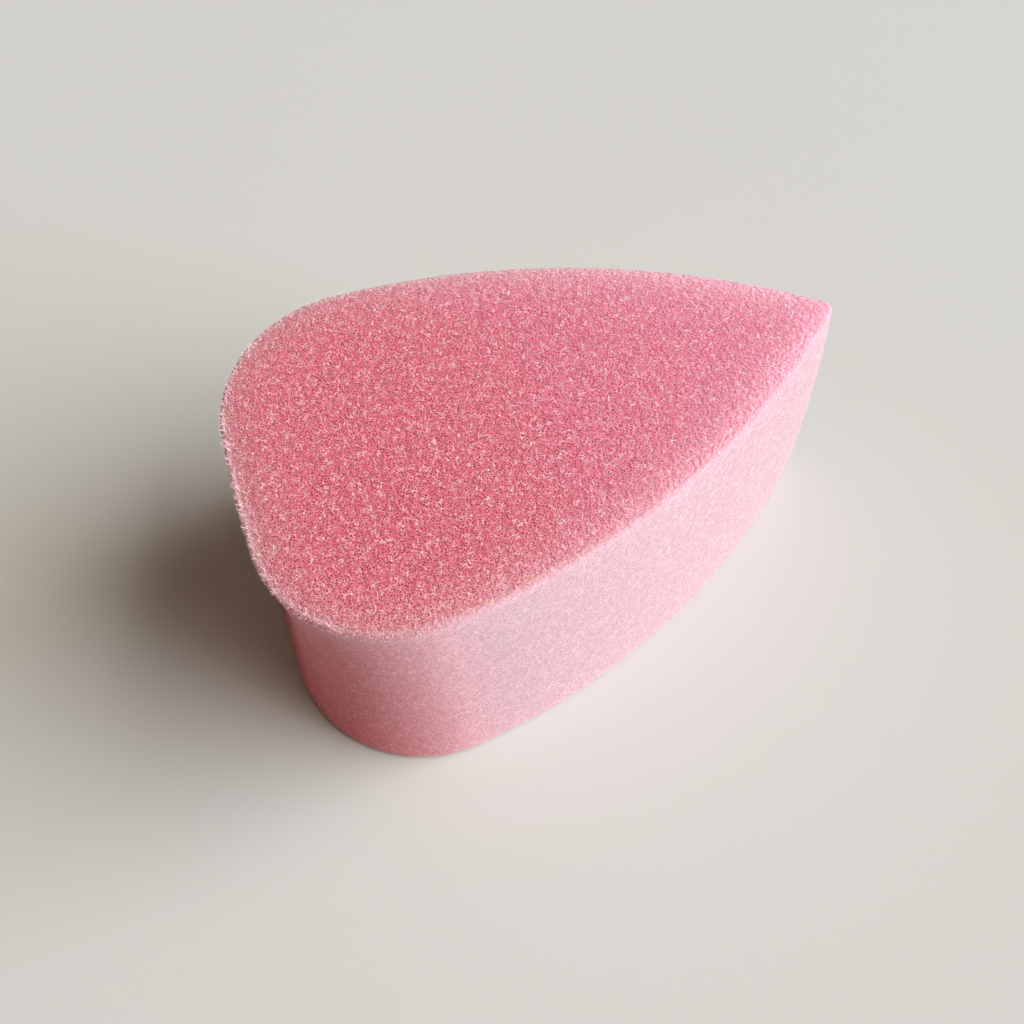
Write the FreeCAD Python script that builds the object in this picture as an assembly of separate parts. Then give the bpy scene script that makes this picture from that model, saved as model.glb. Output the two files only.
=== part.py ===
"""Makeup sponge: one petal-shaped block of soft open-cell foam, cut through with a die.

The plan is a petal with a blunt, rounded heel at -X and a thin tip at +X. At the heel the walls are drawn
in below the top edge and spread again towards the base, and at the tip they bow out a little, as soft foam
does when it is cut. The cut edges are slightly rounded. The block is one piece of foam. It is divided at
one level plane into the two halves that close on each other when it is pressed flat.

Frame: millimetres, +Z up, origin at the middle of the base's bounding box, base on z = 0.
"""
import FreeCAD
import Part

import math
import os

# Driving sizes of the block, in millimetres; the outline's are those of the top face
top_length = 73.0
top_width = 47.3
height = 36.0
heel_corner_radius = 16.3
heel_end_radius = 165.0
widest_from_heel = 12.1
tip_radius = 1.2
edge_round = 0.7

# How far the base stands outside the top's outline, and how far the wall bows half-way up, in at the heel
# and out at the tip; both change evenly along the length
heel_flare = 2.8
tip_flare = 1.0
heel_draw_in = 1.7
tip_bulge = 0.6

# The most that the rounding of the cut edges may take of the tip's radius, where the block is thinnest
tip_round_limit_share = 0.9

# Points along each arc of the outline
ARC_POINTS = 13

# Weights of a quadratic's three poles, for a plain curve and for a round one
PLAIN = (1.0, 1.0, 1.0)
ROUND = (1.0, math.sqrt(0.5), 1.0)
QUADRATIC = 2

OUT_DIR = "parts"


def angle_to(start, end):
    """Direction from one plan point to another, in radians."""
    return math.atan2(end[1] - start[1], end[0] - start[0])


def corner_centre(side_centre, side_reach, heel_centre, heel_reach):
    """Centre of the heel corner's arc, at the given distances from the two arcs that it joins."""
    across = heel_centre[0] - side_centre[0]
    along = heel_centre[1] - side_centre[1]
    apart = math.hypot(across, along)
    foot = (side_reach**2 - heel_reach**2 + apart**2) / (2 * apart)
    rise = math.sqrt(side_reach**2 - foot**2)
    return (
        side_centre[0] + (foot * across - rise * along) / apart,
        side_centre[1] + (foot * along + rise * across) / apart,
    )


def petal_arcs():
    """The top face's outline as tangent arcs once round from the tip: centre, radius, start, end."""
    half_width = top_width / 2
    tip_centre = (top_length - tip_radius, 0.0)
    reach = tip_centre[0] - widest_from_heel
    narrowing = half_width - tip_radius
    side_radius = (reach**2 / narrowing + tip_radius + half_width) / 2
    side_centre = (widest_from_heel, half_width - side_radius)
    heel_centre = (heel_end_radius, 0.0)
    corner = corner_centre(
        side_centre,
        side_radius - heel_corner_radius,
        heel_centre,
        heel_end_radius - heel_corner_radius,
    )
    tip_end = angle_to(side_centre, tip_centre)
    side_end = angle_to(side_centre, corner)
    corner_end = angle_to(heel_centre, corner)
    far_side = [
        (tip_centre, tip_radius, 0.0, tip_end),
        (side_centre, side_radius, tip_end, side_end),
        (corner, heel_corner_radius, side_end, corner_end),
        (heel_centre, heel_end_radius, corner_end, math.pi),
    ]
    near_side = [((x, -y), r, -end, -start) for (x, y), r, start, end in reversed(far_side)]
    return far_side + near_side


def wall_outset(x, z):
    """How far the wall stands outside the top's outline, at x along that outline and at height z."""
    from_heel = x / top_length
    level = z / height
    flare = heel_flare + (tip_flare - heel_flare) * from_heel
    draw_in = heel_draw_in - (heel_draw_in + tip_bulge) * from_heel
    return flare * (1 - level) - draw_in * 4 * level * (1 - level)


def outset_row(arc, z, outset):
    """Points along one arc of the outline, each moved out by outset(x), all at height z."""
    (centre_x, centre_y), radius, start, end = arc
    row = []
    for step in range(ARC_POINTS):
        angle = start + (end - start) * step / (ARC_POINTS - 1)
        reach = radius + outset(centre_x + radius * math.cos(angle))
        row.append(FreeCAD.Vector(centre_x + reach * math.cos(angle), centre_y + reach * math.sin(angle), z))
    return row


def row_curve(row):
    """A smooth curve through a row of points, with the same knots for every row."""
    curve = Part.BSplineCurve()
    curve.interpolate(Points=row, Parameters=[step / (ARC_POINTS - 1) for step in range(ARC_POINTS)])
    return curve


def strip(rows, weights):
    """The face that a quadratic sweeps while its three poles run along three rows."""
    curves = [row_curve(row) for row in rows]
    along = curves[0]
    surface = Part.BSplineSurface()
    surface.buildFromPolesMultsKnots(
        [curve.getPoles() for curve in curves],
        [QUADRATIC + 1, QUADRATIC + 1],
        along.getMultiplicities(),
        [0.0, 1.0],
        along.getKnots(),
        False,
        False,
        QUADRATIC,
        along.Degree,
        [[weight] * along.NbPoles for weight in weights],
    )
    return surface.toShape()


def flat_face(rows):
    """The level face inside rows that follow each other once round the outline."""
    return Part.Face(Part.Wire([row_curve(row).toShape() for row in rows]))


def half_block(face_z, plane_z):
    """The block's material from its flat face, with a rounded edge, to the squeeze plane."""
    rounding = min(edge_round, tip_round_limit_share * tip_radius)
    edge_z = face_z + math.copysign(rounding, plane_z - face_z)
    middle_z = (edge_z + plane_z) / 2

    def plane_outset(x):
        return wall_outset(x, plane_z)

    def edge_outset(x):
        return wall_outset(x, edge_z)

    def bow_outset(x):
        return 2 * wall_outset(x, middle_z) - (edge_outset(x) + plane_outset(x)) / 2

    def corner_outset(x):
        slope = (bow_outset(x) - edge_outset(x)) / (middle_z - edge_z)
        return edge_outset(x) + slope * (face_z - edge_z)

    def face_outset(x):
        return corner_outset(x) - rounding

    arcs = petal_arcs()
    plane_rows = [outset_row(arc, plane_z, plane_outset) for arc in arcs]
    bow_rows = [outset_row(arc, middle_z, bow_outset) for arc in arcs]
    edge_rows = [outset_row(arc, edge_z, edge_outset) for arc in arcs]
    corner_rows = [outset_row(arc, face_z, corner_outset) for arc in arcs]
    face_rows = [outset_row(arc, face_z, face_outset) for arc in arcs]
    faces = [flat_face(plane_rows), flat_face(face_rows)]
    faces += [strip(rows, PLAIN) for rows in zip(plane_rows, bow_rows, edge_rows)]
    faces += [strip(rows, ROUND) for rows in zip(edge_rows, corner_rows, face_rows)]
    shell = Part.Shell(faces)
    shell.sewShape()
    return Part.Solid(shell)


def build():
    """Both halves of the block, by node name, with the middle of their box over the origin."""
    squeeze_plane = height / 2
    halves = {
        "lower_half": half_block(0.0, squeeze_plane),
        "upper_half": half_block(height, squeeze_plane),
    }
    box = Part.makeCompound(list(halves.values())).optimalBoundingBox(False, False)
    middle = box.Center.x
    print("top's heel at x", round(-middle, 3), "box", round(box.XLength, 2), round(box.YLength, 2), "mm")
    for solid in halves.values():
        solid.translate(FreeCAD.Vector(-middle, 0, 0))
    return halves


os.makedirs(OUT_DIR, exist_ok=True)
for node, solid in build().items():
    solid.exportStep(os.path.join(OUT_DIR, node + ".step"))
    print(node, "valid" if solid.isValid() else "NOT VALID", round(solid.Volume, 1), "mm3")
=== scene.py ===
"""Looks of the makeup sponge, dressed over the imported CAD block.

The shape is read from the CAD halves. A random net of points is laid over it, close on the top face and
wider on the walls and the base. Each point is the bottom of a pore or a bit of cell wall, with its own
depth, and cut strut ends stand up between them.
Everything is in metres, in the frame of the CAD part: base on z = 0, heel at -X, tip at +X.
"""

import math

import bpy
import numpy as np
from mathutils import Matrix, Vector
from mathutils.bvhtree import BVHTree
from mathutils.geometry import delaunay_2d_cdt


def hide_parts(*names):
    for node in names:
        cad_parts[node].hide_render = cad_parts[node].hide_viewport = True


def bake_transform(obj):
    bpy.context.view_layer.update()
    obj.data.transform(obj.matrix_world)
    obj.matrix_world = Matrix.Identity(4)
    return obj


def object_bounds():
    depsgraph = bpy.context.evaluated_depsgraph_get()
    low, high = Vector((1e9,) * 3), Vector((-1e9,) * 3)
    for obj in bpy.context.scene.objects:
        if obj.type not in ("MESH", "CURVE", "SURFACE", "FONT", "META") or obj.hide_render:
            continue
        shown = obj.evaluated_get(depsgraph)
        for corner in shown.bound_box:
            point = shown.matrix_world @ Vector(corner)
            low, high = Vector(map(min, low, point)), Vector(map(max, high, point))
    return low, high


MM = 0.001
SEED = 20260

# Camera, fitted to the photograph; the azimuth is the direction of view in plan, from +X towards +Y
VIEW_AZIMUTH = math.radians(76.109)
VIEW_DEPRESSION = math.radians(61.141)
VIEW_ROLL = math.radians(-5.869)
VIEW_DISTANCE = 151.25 * MM
VIEW_TARGET = Vector((-2.820 * MM, 5.842 * MM, 0))
FOCAL_PIXELS = 1025
IMAGE_PIXELS = 1024
SENSOR_WIDTH = 36.0
CLIP_START = 10 * MM

# Light: a wide window of two panes on the right of the view, each with its elevation, power and colour, and
# a weak warm room, lit from its ceiling
WINDOW_TURN = math.radians(-5.0)
WINDOW_DISTANCE = 8.0
PANE_SIZE = (8.4, 4.6)
PANES = {
    "lower_pane": (math.radians(13), 1160.0, (0.91, 1.0, 1.18)),
    "upper_pane": (math.radians(43), 564.0, (1.07, 1.0, 0.86)),
}
ROOM_COLOUR = (1.0, 0.74, 0.56)
CEILING_STRENGTH = 0.215
FLOOR_SIZE = 1.2
FLOOR_COLOUR = (0.675, 0.69, 0.67)
FLOOR_ROUGHNESS = 0.75
FLOOR_SPECULAR = 0.0
BACKDROP_COLOUR = (0.64, 0.64, 0.61)

# The grid that the wall is read on: its step round the block, its rows, with close ones beside each edge, how
# far out its rays start, and the decimal places to which the corners of the CAD halves are told apart
GRID_STEP = 0.5 * MM
GRID_ROWS = 40
EDGE_ZONE = 0.7 * MM
EDGE_TURNS = np.radians(np.linspace(5, 85, 9))
RAY_REACH = 10 * MM
PLACE_DIGITS = 7

# Spacing of the net on each part of the block, how far its points are shaken, the points added below the
# top's edge, and the width of the strip that closes the net round the wall
TOP_CELL = 0.27 * MM
WALL_CELL = 0.42 * MM
BASE_CELL = 0.60 * MM
CELL_JITTER = 0.42
RIM_BAND = 1.2 * MM
RIM_POINTS = 3000
SEAM_CELLS = 8

# Depth of the pores on the faces and on the wall, how much deeper they are at the edges, and how far in the
# edges' roughness reaches
FACE_DEPTH = 0.08 * MM
WALL_DEPTH = 0.03 * MM
EDGE_DEPTH = 0.06 * MM
EDGE_REACH = 0.6 * MM

# How far the cut foam sinks at the top's edge, at the heel and at the tip, and how far in it does so
EDGE_SAGS = (0.32 * MM, 0.15 * MM)
SAG_REACH = 1.5 * MM

# Cut strut ends: how many stand at a point of the net on the wall and on the faces, how far beside it,
# their radius as a rule and at the heel's edge, their lengths, and the power that makes most of them short;
# how many more stand at the edge of the heel and of the tip, how much longer those are, and how steeply
# both fall from the heel; how much they lean, how deep they are set, their sides, and how pale they are at
# the root and at the tip, a painted glow that stands for light through the thin strands; the foot on the
# table has none
STRUT_COUNTS = (0.06, 0.20)
STRUT_SPREAD = 0.2 * MM
STRUT_RADII = (0.034 * MM, 0.056 * MM)
STRUT_LENGTHS = (0.05 * MM, 0.16 * MM)
STRUT_SHORTNESS = 2
EDGE_STRUT_COUNTS = (6.5, 0.6)
EDGE_STRUT_LENGTHS = (0.95 * MM, 0.04 * MM)
EDGE_STRUT_STEEPNESS = 3
STRUT_LEAN = 0.8
STRUT_SINK = 0.06 * MM
STRUT_SIDES = 3
STRUT_GLOW = (0.6, 1.0)
BARE_FOOT = 1.5 * MM

# Foam colours between the pores and struts of the grain: the top face's own colour; the wall's, paler, partly
# its own and partly painted light where the window falls on it; a deep rose at the heel, painted shade on the
# side away from the window;
# the pale band along the edges and at the tip, painted light through the thin rim; the top towards the tip, a
# painted glow;
# the wall at the tip, painted darker where the window lights it most; what a pore leaves of them, painted
# shade in the hole;
# and a strut's colour, painted light on the lit strands
FACE_COLOUR = (0.72, 0.078, 0.148)
WALL_COLOUR = (0.580, 0.328, 0.356)
HEEL_SHADE_COLOUR = (0.87, 0.070, 0.098)
EDGE_GLOW_COLOUR = (0.71, 0.425, 0.46)
TIP_EDGE_GLOW_COLOUR = (0.95, 0.45, 0.61)
TIP_GLOW_COLOUR = (1.0, 0.38, 0.68)
TIP_WALL_SHADE_COLOUR = (0.345, 0.185, 0.196)
PORE_SHADE_TINT = (0.33, 0.09, 0.14)
LIT_STRUT_COLOUR = (1.0, 0.70, 0.74)

# How the foam takes the light: it is matt and downy, and light spreads inside it, but not in the thin struts
FOAM_ROUGHNESS = 0.9
FOAM_SPECULAR = 0.2
FOAM_SCATTER = 0.8
STRUT_SCATTER = 0.0
SCATTER_SCALE = 1.0
SCATTER_RADIUS = (1.6 * MM, 0.8 * MM, 0.9 * MM)
SHEEN = 0.35
SHEEN_ROUGHNESS = 0.5
SHEEN_TINT = (1.0, 0.88, 0.92)

# Where the painted light and shade change: the painted shade on the wall is deepest low down at the heel, on
# its near side, away from the window, and the top fades towards the painted glow at the tip
HEEL_FADE = (-38 * MM, -11 * MM)
HEEL_RISE = (18 * MM, 36 * MM)
HEEL_RISE_STRENGTH = 0.40
HEEL_BACK = (-6 * MM, 22 * MM)
HEEL_BACK_STRENGTH = 0.55
TIP_FADE = (-24 * MM, 42 * MM)
TIP_STRENGTH = 0.37

# The pale band along the edges, painted light that stands for light through the thin cut rim, and at the heel
# painted light
# that lifts the rim out of its shade: its width and strength on the wall and on the face, at the heel and at
# the tip, and how much of it the base has
HEEL_BANDS = (1.3 * MM, 2.3 * MM)
TIP_BANDS = (0.45 * MM, 3.0 * MM)
HEEL_EDGES = (0.88, 0.43)
TIP_EDGES = (0.90, 0.85)
BASE_EDGE_SHARE = 0.3

# Grain: cells with a dark pore in the middle, painted shade in the hole, and pale struts between them,
# painted light on the lit strands, which show in patches
CELL = 0.27 * MM
PORE_SPAN = (0.54, 0.18)
PORE_SHADES = (0.0, 0.7)
STRUT_SPAN = (0.11, 0.02)
PATCH = 0.9 * MM
PATCH_SPAN = (0.38, 0.62)
PLAIN_PATCH = 0.48
WALL_GRAIN = 0.55
EDGE_PORES = 0.12
TIP_PORES = 0.45

# Numbers of the sockets of a mix node that take and give colours
MIX_SHARE, MIX_FIRST, MIX_SECOND = 0, 6, 7
MIX_RESULT = 2

# Layout of the baking map
MAP_ROWS = 3
MAP_GAP = 1.5 * MM


def units(vectors):
    """Vectors scaled to length 1."""
    return vectors / np.linalg.norm(vectors, axis=-1, keepdims=True)


def run_lengths(points):
    """Distance along a line of points, at each point."""
    steps = np.linalg.norm(np.diff(points, axis=0), axis=-1)
    return np.concatenate([np.zeros((1, *steps.shape[1:])), np.cumsum(steps, axis=0)])


def along_line(table, at, where):
    """The rows of a table that is known at some distances along a line, read at other distances."""
    return np.column_stack([np.interp(where, at, column) for column in table.T])


def cad_surface():
    """Vertices and faces of the two CAD halves together."""
    points, faces = [], []
    for node in ("lower_half", "upper_half"):
        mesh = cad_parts[node].data
        faces += [[len(points) + k for k in face.vertices] for face in mesh.polygons]
        points += [v.co for v in mesh.vertices]
    return points, faces


def block_outline(points):
    """The block's outline half-way up, anticlockwise, from the corners of the squeeze plane."""
    points = np.array(points)
    middle_z = points[:, 2].max() / 2
    loop = np.unique(points[np.isclose(points[:, 2], middle_z), :2].round(PLACE_DIGITS), axis=0)
    return loop[np.argsort(np.arctan2(*loop.T[::-1]))]


class Wall:
    """The block's wall with its rounded edges, as grids whose columns go round it and rows go up it."""

    def __init__(self):
        points, faces = cad_surface()
        solid = BVHTree.FromPolygons(points, faces)
        loop = block_outline(points)
        ahead = np.roll(loop, -1, axis=0) - np.roll(loop, 1, axis=0)
        outward = units(np.column_stack([ahead[:, 1], -ahead[:, 0]]))
        around = run_lengths(np.vstack([loop, loop[:1]]))
        self.girth = around[-1]
        self.columns = round(self.girth / GRID_STEP)
        u = np.arange(self.columns) * self.girth / self.columns
        plan = along_line(np.vstack([loop, loop[:1]]), around, u)
        out = units(along_line(np.vstack([outward, outward[:1]]), around, u))
        top = max(v.z for v in points)
        rounding = EDGE_ZONE * (1 - np.cos(EDGE_TURNS))
        straight = np.linspace(EDGE_ZONE, top - EDGE_ZONE, GRID_ROWS)
        heights = np.concatenate([rounding, straight, top - rounding[::-1]])

        def cast(start, away, z):
            origin = Vector((*(start + away * RAY_REACH), z))
            return solid.ray_cast(origin, Vector((*-away, 0)))[0]

        place = np.array([[cast(*column, z) for column in zip(plan, out)] for z in heights])
        along = np.roll(place, -1, axis=1) - np.roll(place, 1, axis=1)
        upward = np.gradient(place, axis=0)
        self.grids = [place, np.cross(along, upward), along, upward]
        self.up = run_lengths(place).mean(axis=1)
        self.rise = self.up[-1]

    def at(self, u, s):
        """Place, outward normal, and the directions along and up the wall."""
        column = u / self.girth * self.columns
        row = np.interp(s, self.up, np.arange(len(self.up)))
        left = np.floor(column).astype(int)
        low = np.minimum(np.floor(row).astype(int), len(self.up) - 2)
        across, above = (column - left)[:, None], (row - low)[:, None]
        left %= self.columns
        right = (left + 1) % self.columns

        def between(grid):
            under = grid[low, left] * (1 - across) + grid[low, right] * across
            over = grid[low + 1, left] * (1 - across) + grid[low + 1, right] * across
            return under * (1 - above) + over * above

        place, *directions = [between(grid) for grid in self.grids]
        return place, *[units(d) for d in directions]


def triangles_of(points, edges):
    """Delaunay triangles of plane points; where edges are given, only those inside them."""
    inside = 1 if edges else 0
    corners = [Vector(p) for p in points]
    _, _, found, origins, _, _ = delaunay_2d_cdt(corners, edges, [], inside, 0.0)
    source = np.array([ids[0] for ids in origins])
    return source[np.array(found)]


def shaken_grid(rows, columns, rng):
    """Places of a random, roughly hexagonal grid, in cells and rows."""
    row, column = np.mgrid[0:rows, 0:columns].astype(float)
    shake = rng.uniform(-CELL_JITTER, CELL_JITTER, (2, rows, columns))
    shake[1, [0, -1]] = 0
    return column + row % 2 / 2 + shake[0], np.clip(row + shake[1], 0, rows - 1)


def row_step(cell):
    """Distance between the rows of a hexagonal grid of cells."""
    return cell * math.sqrt(3) / 2


def wall_triangles(wall, u, s):
    """Triangles over the wall's points, joined where the wall closes on itself."""
    margin = SEAM_CELLS * WALL_CELL
    index = np.arange(len(u))
    early, late = index[u < margin], index[u > wall.girth - margin]
    source = np.concatenate([index, early, late])
    wide_u = np.concatenate([u, u[early] + wall.girth, u[late] - wall.girth])
    found = triangles_of(np.column_stack([wide_u, s[source]]), [])
    middle = wide_u[found].mean(1)
    return source[found[(middle >= 0) & (middle < wall.girth)]]


class Net:
    """A random net of triangles over the block."""

    columns = ("place", "normal", "along", "upward", "chart", "from_edge", "on_face")

    def __init__(self, wall, rng):
        self.parts = []
        self.count = 0
        self.triangles = []
        self.add_wall(wall, rng)
        for name, arrays in zip(self.columns, zip(*self.parts)):
            setattr(self, name, np.concatenate(arrays))
        self.triangles = np.vstack(self.triangles)
        self.chart_scale = 1 / (self.chart.max() + MAP_GAP)

    def add(self, *arrays):
        """Adds points, with an array for each of the columns."""
        self.parts.append(arrays)
        self.count += len(arrays[0])

    def add_wall(self, wall, rng):
        """The wall's points, and the two faces inside its first and last row of points."""
        rows = round(wall.rise / row_step(WALL_CELL)) + 1
        columns = round(wall.girth / WALL_CELL)
        u, s = shaken_grid(rows, columns, rng)
        u = u.ravel() * wall.girth / columns % wall.girth
        s = s.ravel() * wall.rise / (rows - 1)
        more_u, more_s = rng.random((2, RIM_POINTS)) * [[wall.girth], [RIM_BAND]]
        u = np.insert(u, columns, more_u)
        s = np.insert(s, columns, wall.rise - row_step(WALL_CELL) / 2 - more_s)
        row_length = wall.girth / MAP_ROWS
        map_row = np.floor(u / row_length)
        chart = np.column_stack([u - map_row * row_length, map_row * (wall.rise + MAP_GAP) + s])
        from_edge = np.minimum(s, wall.rise - s)
        place, *directions = wall.at(u, s)
        self.add(place, *directions, chart + MAP_GAP, from_edge, np.zeros(len(u)))
        self.triangles.append(wall_triangles(wall, u, s))
        first, last = np.arange(columns), np.arange(len(u) - columns, len(u))
        chart_x = row_length + 2 * MAP_GAP
        self.add_face(place, first[np.argsort(u[first])], -1, BASE_CELL, chart_x, rng)
        self.add_face(place, last[np.argsort(u[last])], 1, TOP_CELL, chart_x, rng)

    def add_face(self, place, rim_ids, facing, cell, chart_x, rng):
        """Covers the flat face inside a rim of wall points; facing is 1 on the top and -1 on the base."""
        rim = place[rim_ids, :2]
        low, high = rim.min(0), rim.max(0)
        wide, deep = high - low
        x, y = shaken_grid(int(deep / row_step(cell)) + 1, int(wide / cell) + 1, rng)
        points = low + np.column_stack([x.ravel() * cell, y.ravel() * row_step(cell)])
        side = np.roll(rim, -1, axis=0) - rim
        inward = units(np.column_stack([-side[:, 1], side[:, 0]]))
        inset = (points @ inward.T - (rim * inward).sum(1)).min(1)
        points, inset = points[inset > cell / 2], inset[inset > cell / 2]
        ids = np.concatenate([rim_ids, self.count + np.arange(len(points))])
        edges = [(k, (k + 1) % len(rim)) for k in range(len(rim))]
        found = triangles_of(np.vstack([rim, points]), edges)
        self.triangles.append(ids[found][:, ::facing])
        still = np.ones((len(points), 1))
        map_y = MAP_GAP + (facing + 1) / 2 * (deep + MAP_GAP)
        from_corner = points - (low if facing > 0 else (low[0], high[1]))
        self.add(
            np.column_stack([points, still * place[rim_ids[0], 2]]),
            still * (0, 0, facing),
            still * (1, 0, 0),
            still * (0, facing, 0),
            from_corner * (1, facing) + (chart_x, map_y),
            inset,
            np.ones(len(points)),
        )

    def along_block(self, at_heel, at_tip, steepness=1):
        """A value that changes along the block, at each point: evenly, or most of all at the heel."""
        to_heel = (cad_box[1][0] - self.place[:, 0]) / (cad_box[1][0] - cad_box[0][0])
        return at_tip + (at_heel - at_tip) * to_heel**steepness

    def by_edge(self):
        """How close each point is to an edge: 1 on it, fading to 0."""
        return np.exp(-self.from_edge / EDGE_REACH)

    def map_places(self, near, points):
        """Where points beside these points of the net lie in the baking map."""
        offset = points - self.place[near]
        flat = [(offset * axis[near]).sum(-1) for axis in (self.along, self.upward)]
        return (self.chart[near] + np.stack(flat, -1)) * self.chart_scale


def new_piece(name, points, faces, map_places, values, material):
    """A mesh of triangles that stands for the foam, with each vertex's rest place stored; values are numbers
    per vertex.
    """
    mesh = bpy.data.meshes.new(name)
    mesh.from_pydata(points, [], faces)
    mesh.uv_layers.new(name="OFBake").data.foreach_set("uv", map_places.astype(np.float32).ravel())
    for key, numbers in values.items():
        mesh.attributes.new(key, "FLOAT", "POINT").data.foreach_set("value", numbers.astype(np.float32))
    rest = mesh.attributes.new("rest_place", "FLOAT_VECTOR", "POINT")
    rest.data.foreach_set("vector", points.astype(np.float32).ravel())
    mesh.materials.append(material)
    piece = bpy.data.objects.new(name, mesh)
    bpy.context.scene.collection.objects.link(piece)
    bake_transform(piece)
    return piece


def foam_surface(net, rng, material):
    """The closed foam surface, with each point of the net at its own depth."""
    on_wall = net.on_face == 0
    in_upper = net.place[:, 2] > cad_box[1][2] / 2
    deepest = np.where(on_wall, WALL_DEPTH, FACE_DEPTH) + EDGE_DEPTH * net.by_edge()
    depth = rng.random(net.count) * deepest
    points = net.place - net.normal * depth[:, None]
    sag = net.along_block(*EDGE_SAGS) * np.exp(-net.from_edge / SAG_REACH)
    points[:, 2] -= np.where(in_upper, sag, 0)
    near = net.triangles[:, [0, 0, 0]].ravel()
    map_places = net.map_places(near, points[net.triangles].reshape(-1, 3))
    # The edge value: a pale band of painted light along the top's edges, which the base has less of
    edge = net.along_block(np.where(on_wall, *HEEL_EDGES), np.where(on_wall, *TIP_EDGES))
    band = net.along_block(np.where(on_wall, *HEEL_BANDS), np.where(on_wall, *TIP_BANDS))
    edge *= np.exp(-net.from_edge / band)
    edge[~in_upper] *= BASE_EDGE_SHARE
    values = {"strut": np.zeros(net.count), "edge": edge, "face": net.on_face}
    return new_piece("foam_block", points, net.triangles, map_places, values, material), points, values


def strut_ends(net, surface_points, values, rng, material):
    """Tapered strut ends, most of them short, standing up at random from the foam."""
    by_edge = net.by_edge()
    usual = np.where(net.on_face == 0, *STRUT_COUNTS)
    at_edge = net.along_block(*EDGE_STRUT_COUNTS, EDGE_STRUT_STEEPNESS) * by_edge
    usual = (usual + at_edge) * (net.place[:, 2] > BARE_FOOT)
    chosen = np.repeat(np.arange(net.count), rng.poisson(usual))
    count = len(chosen)
    outward = net.normal[chosen]
    axis = units(outward + STRUT_LEAN * units(rng.normal(size=(count, 3))))
    short, long = STRUT_LENGTHS
    added = net.along_block(*EDGE_STRUT_LENGTHS, EDGE_STRUT_STEEPNESS) * by_edge
    spread = long - short + added[chosen]
    length = short + rng.random(count) ** STRUT_SHORTNESS * spread
    aside = rng.uniform(-STRUT_SPREAD, STRUT_SPREAD, (2, count, 1))
    foot = surface_points[chosen] + aside[0] * net.along[chosen] + aside[1] * net.upward[chosen]
    root = foot - STRUT_SINK * outward
    tip = foot + axis * length[:, None]
    across = units(np.cross(axis, rng.normal(size=(count, 3))))
    beside = np.cross(axis, across)
    thin, thick = STRUT_RADII
    radius = thin + (net.along_block(thick - thin, 0) * by_edge)[chosen, None]
    turns = np.arange(STRUT_SIDES) * 2 * math.pi / STRUT_SIDES
    ring = [root + radius * (across * math.cos(t) + beside * math.sin(t)) for t in turns]
    points = np.vstack(ring + [tip])
    index = np.arange(count)
    corners = [k * count + index for k in range(STRUT_SIDES + 1)]
    sides = [(corners[k], corners[(k + 1) % STRUT_SIDES], corners[-1]) for k in range(STRUT_SIDES)]
    faces = np.vstack([np.column_stack(side) for side in sides])
    near = np.repeat(np.tile(chosen, STRUT_SIDES), 3)
    map_places = net.map_places(near, points[faces].reshape(-1, 3))
    per_vertex = {key: np.tile(numbers[chosen], len(corners)) for key, numbers in values.items()}
    # The strut ends are painted pale from root to tip, a painted glow for light through the thin strands
    per_vertex["strut"] = np.repeat(STRUT_GLOW, (STRUT_SIDES * count, count))
    return new_piece("strut_ends", points, faces, map_places, per_vertex, material)


def add_node(tree, kind, inputs=None, **settings):
    """A shader node; each input is a plain value, or another node's output, which is linked."""
    made = tree.nodes.new("ShaderNode" + kind)
    for key, value in settings.items():
        setattr(made, key, value)
    for key, value in (inputs or {}).items():
        if isinstance(value, bpy.types.NodeSocket):
            tree.links.new(value, made.inputs[key])
        else:
            made.inputs[key].default_value = value
    return made


def value_of(tree, name):
    """A number stored at each vertex."""
    return add_node(tree, "Attribute", attribute_name=name).outputs["Fac"]


def mixed(tree, share, first, second, blend="MIX"):
    """A colour between two colours, each a tuple or an output."""
    mix = add_node(tree, "Mix", data_type="RGBA", blend_type=blend, clamp_factor=True)
    for index, value in ((MIX_SHARE, share), (MIX_FIRST, first), (MIX_SECOND, second)):
        if isinstance(value, bpy.types.NodeSocket):
            tree.links.new(value, mix.inputs[index])
        elif isinstance(value, tuple):
            mix.inputs[index].default_value = (*value, 1)
        else:
            mix.inputs[index].default_value = value
    return mix.outputs[MIX_RESULT]


def maths(tree, operation, first, second):
    """One sum on two numbers or outputs."""
    return add_node(tree, "Math", {0: first, 1: second}, operation=operation).outputs[0]


def ramp(tree, value, start, end):
    """A smooth rise from 0 to 1 while a value goes from start to end."""
    inputs = {"Value": value, "From Min": start, "From Max": end}
    return add_node(tree, "MapRange", inputs, interpolation_type="SMOOTHSTEP").outputs[0]


def new_material(name):
    """A material with an empty node tree, and that tree."""
    material = bpy.data.materials.new(name)
    material.use_nodes = True
    material.node_tree.nodes.clear()
    return material, material.node_tree


def foam_grain(tree, place, edge):
    """How dark a place is, inside a pore, as painted shade in the hole, and how pale, on a strut between the
    pores, as painted light on the lit strands.
    """
    cells = {"Vector": place, "Scale": 1 / CELL}
    middle = add_node(tree, "TexVoronoi", cells)
    border = add_node(tree, "TexVoronoi", cells, feature="DISTANCE_TO_EDGE")
    own = add_node(tree, "SeparateColor", {0: middle.outputs["Color"]}).outputs[0]
    pore = ramp(tree, middle.outputs["Distance"], *PORE_SPAN)
    pore = maths(tree, "MULTIPLY", pore, ramp(tree, own, *PORE_SHADES))
    patch = add_node(tree, "TexNoise", {"Vector": place, "Scale": 1 / PATCH}).outputs[0]
    patch = maths(tree, "MAXIMUM", ramp(tree, patch, *PATCH_SPAN), PLAIN_PATCH)
    strut = ramp(tree, border.outputs["Distance"], *STRUT_SPAN)
    return pore, maths(tree, "MULTIPLY", strut, maths(tree, "MAXIMUM", patch, edge))


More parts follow.
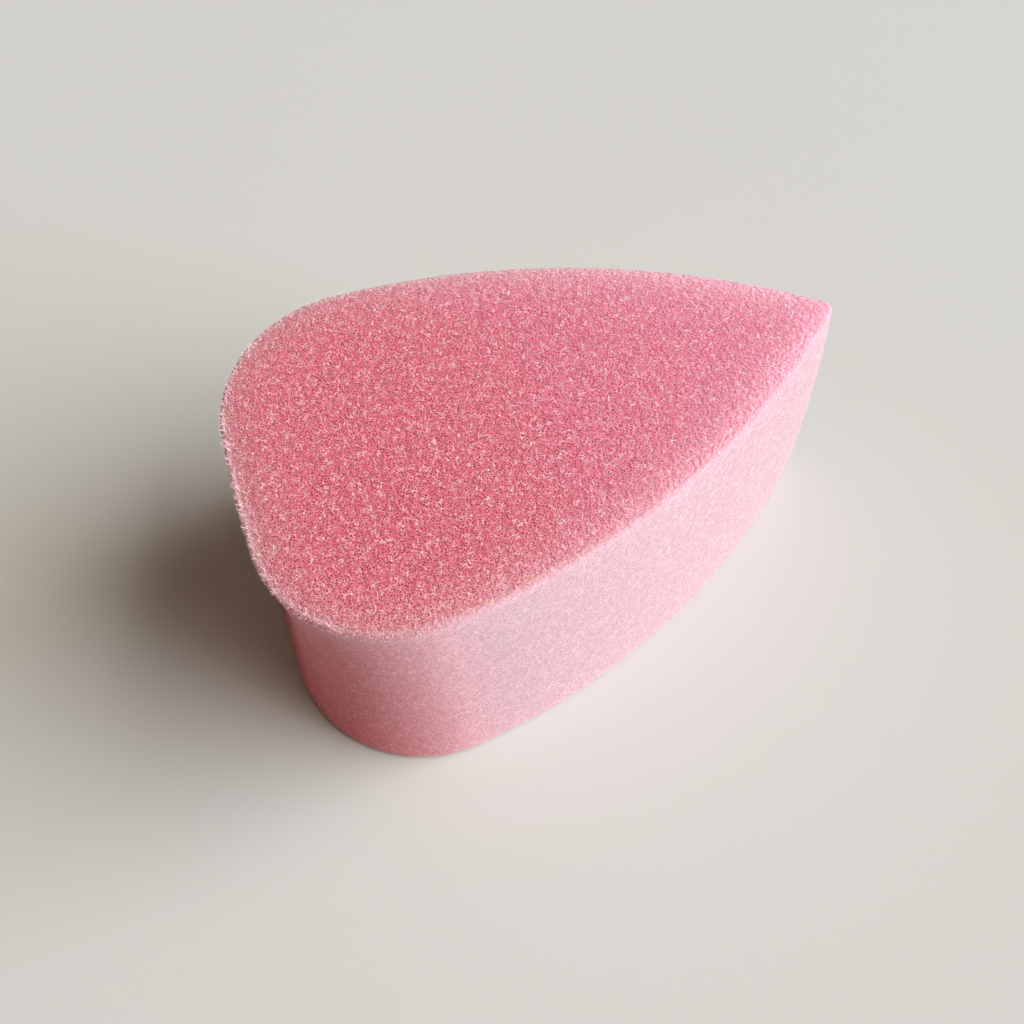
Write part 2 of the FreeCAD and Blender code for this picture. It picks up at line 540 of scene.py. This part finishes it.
def foam_material(name, scatter):
    """Open-cell foam: deep pink pores with painted shade in them, paler struts and edges with painted light
    on them, painted shade deepest at the heel and a painted glow towards the tip; lit through.
    """
    material, tree = new_material(name)
    place = add_node(tree, "Attribute", attribute_name="rest_place").outputs["Vector"]
    on_face, edge = value_of(tree, "face"), value_of(tree, "edge")
    axes = add_node(tree, "SeparateXYZ", {0: place}).outputs
    rise = maths(tree, "MULTIPLY", ramp(tree, axes["Z"], *HEEL_RISE), HEEL_RISE_STRENGTH)
    back = maths(tree, "MULTIPLY", ramp(tree, axes["Y"], *HEEL_BACK), HEEL_BACK_STRENGTH)
    # How far the wall is from the painted shade at the heel: low down, at the heel's end and on its near side
    from_heel = maths(tree, "MAXIMUM", ramp(tree, axes["X"], *HEEL_FADE), maths(tree, "MAXIMUM", rise, back))
    to_tip = ramp(tree, axes["X"], *TIP_FADE)
    # The top fades towards a painted glow at the tip
    face = mixed(tree, maths(tree, "MULTIPLY", to_tip, TIP_STRENGTH), FACE_COLOUR, TIP_GLOW_COLOUR)
    # The wall: painted shade at the heel, paler in the middle, partly its own colour and partly painted
    # light, and painted darker at the tip, where the window lights it most
    wall = mixed(tree, from_heel, HEEL_SHADE_COLOUR, mixed(tree, to_tip, WALL_COLOUR, TIP_WALL_SHADE_COLOUR))
    colour = mixed(tree, on_face, wall, face)
    # The pale band of painted light along the edges
    colour = mixed(tree, edge, colour, mixed(tree, to_tip, EDGE_GLOW_COLOUR, TIP_EDGE_GLOW_COLOUR))
    pore, strut = foam_grain(tree, place, edge)
    grain = maths(tree, "MAXIMUM", maths(tree, "MAXIMUM", on_face, edge), WALL_GRAIN)
    for fade, least in ((edge, EDGE_PORES), (to_tip, TIP_PORES)):
        kept = maths(tree, "SUBTRACT", 1, maths(tree, "MULTIPLY", fade, 1 - least))
        pore = maths(tree, "MULTIPLY", pore, kept)
    # Painted shade in the pores
    colour = mixed(tree, maths(tree, "MULTIPLY", pore, grain), colour, PORE_SHADE_TINT, "MULTIPLY")
    strut = maths(tree, "MAXIMUM", maths(tree, "MULTIPLY", strut, grain), value_of(tree, "strut"))
    # Painted light on the lit struts
    colour = mixed(tree, strut, colour, LIT_STRUT_COLOUR)
    shader = add_node(
        tree,
        "BsdfPrincipled",
        {
            "Base Color": colour,
            "Roughness": FOAM_ROUGHNESS,
            "Specular IOR Level": FOAM_SPECULAR,
            "Subsurface Weight": scatter,
            "Subsurface Radius": SCATTER_RADIUS,
            "Subsurface Scale": SCATTER_SCALE,
            "Sheen Weight": SHEEN,
            "Sheen Roughness": SHEEN_ROUGHNESS,
            "Sheen Tint": (*SHEEN_TINT, 1),
        },
    )
    add_node(tree, "OutputMaterial", {"Surface": shader.outputs[0]})
    return material


def floor_material():
    """A plain pale matt table top."""
    material, tree = new_material("pale_floor")
    shader = add_node(
        tree,
        "BsdfPrincipled",
        {
            "Base Color": (*FLOOR_COLOUR, 1),
            "Roughness": FLOOR_ROUGHNESS,
            "Specular IOR Level": FLOOR_SPECULAR,
        },
    )
    add_node(tree, "OutputMaterial", {"Surface": shader.outputs[0]})
    return material


def add_floor():
    """The floor that the sponge lies on."""
    half = FLOOR_SIZE / 2
    mesh = bpy.data.meshes.new("floor")
    corners = [(-half, -half, 0), (half, -half, 0), (half, half, 0), (-half, half, 0)]
    mesh.from_pydata(corners, [], [(0, 1, 2, 3)])
    mesh.materials.append(floor_material())
    floor = bpy.data.objects.new("floor", mesh)
    bpy.context.scene.collection.objects.link(floor)


def view_axes():
    """The directions to the right, up and forwards in the photograph's view, before the camera's roll."""
    forward = Vector(
        (
            math.cos(VIEW_DEPRESSION) * math.cos(VIEW_AZIMUTH),
            math.cos(VIEW_DEPRESSION) * math.sin(VIEW_AZIMUTH),
            -math.sin(VIEW_DEPRESSION),
        )
    )
    right = forward.cross(Vector((0, 0, 1))).normalized()
    up = right.cross(forward)
    return right, up, forward


def add_camera():
    """The photograph's camera."""
    right, up, forward = view_axes()
    rolled_right = right * math.cos(VIEW_ROLL) + up * math.sin(VIEW_ROLL)
    rolled_up = up * math.cos(VIEW_ROLL) - right * math.sin(VIEW_ROLL)
    data = bpy.data.cameras.new("camera")
    data.sensor_width = SENSOR_WIDTH
    data.lens = SENSOR_WIDTH * FOCAL_PIXELS / IMAGE_PIXELS
    data.clip_start = CLIP_START
    camera = bpy.data.objects.new("camera", data)
    turned = Matrix((rolled_right, rolled_up, -forward)).transposed().to_4x4()
    camera.matrix_world = Matrix.Translation(VIEW_TARGET - forward * VIEW_DISTANCE) @ turned
    bpy.context.scene.collection.objects.link(camera)
    bpy.context.scene.camera = camera


def add_pane(name, elevation, power, colour):
    """One pane of the window, as a large soft light that faces the sponge."""
    level = Matrix.Rotation(WINDOW_TURN, 3, "Z") @ view_axes()[0]
    towards = level * math.cos(elevation) + Vector((0, 0, math.sin(elevation)))
    data = bpy.data.lights.new(name, "AREA")
    data.shape = "RECTANGLE"
    data.size, data.size_y = PANE_SIZE
    data.energy = power
    data.color = colour
    pane = bpy.data.objects.new(name, data)
    pane.location = towards * WINDOW_DISTANCE
    pane.rotation_euler = (-towards).to_track_quat("-Z", "Y").to_euler()
    bpy.context.scene.collection.objects.link(pane)


def add_room():
    """The weak light of the room, which fades from the ceiling to the table, before a pale backdrop."""
    world = bpy.data.worlds.new("room")
    world.use_nodes = True
    tree = world.node_tree
    background = tree.nodes["Background"]
    seen = add_node(tree, "LightPath").outputs["Is Camera Ray"]
    direction = add_node(tree, "TexCoord").outputs["Generated"]
    upward = maths(tree, "MAXIMUM", add_node(tree, "SeparateXYZ", {0: direction}).outputs["Z"], 0)
    strength = maths(tree, "MAXIMUM", maths(tree, "MULTIPLY", upward, CEILING_STRENGTH), seen)
    tree.links.new(strength, background.inputs["Strength"])
    tree.links.new(mixed(tree, seen, ROOM_COLOUR, BACKDROP_COLOUR), background.inputs["Color"])
    bpy.context.scene.world = world


def add_sponge():
    """The foam block and its strut ends, in place of the two CAD halves."""
    rng = np.random.default_rng(SEED)
    net = Net(Wall(), rng)
    surface, points, values = foam_surface(net, rng, foam_material("foam", FOAM_SCATTER))
    strut_ends(net, points, values, rng, foam_material("foam_struts", STRUT_SCATTER))
    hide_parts("lower_half", "upper_half")


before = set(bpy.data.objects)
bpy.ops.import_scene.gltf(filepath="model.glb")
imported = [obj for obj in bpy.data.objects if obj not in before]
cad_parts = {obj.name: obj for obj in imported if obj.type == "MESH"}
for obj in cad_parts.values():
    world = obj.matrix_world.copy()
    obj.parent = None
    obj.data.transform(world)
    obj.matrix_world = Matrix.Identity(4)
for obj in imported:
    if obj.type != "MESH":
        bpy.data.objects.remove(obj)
cad_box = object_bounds()
add_sponge()
add_floor()
add_camera()
for pane_name, pane in PANES.items():
    add_pane(pane_name, *pane)
add_room()
bpy.context.scene.view_settings.view_transform = "Standard"
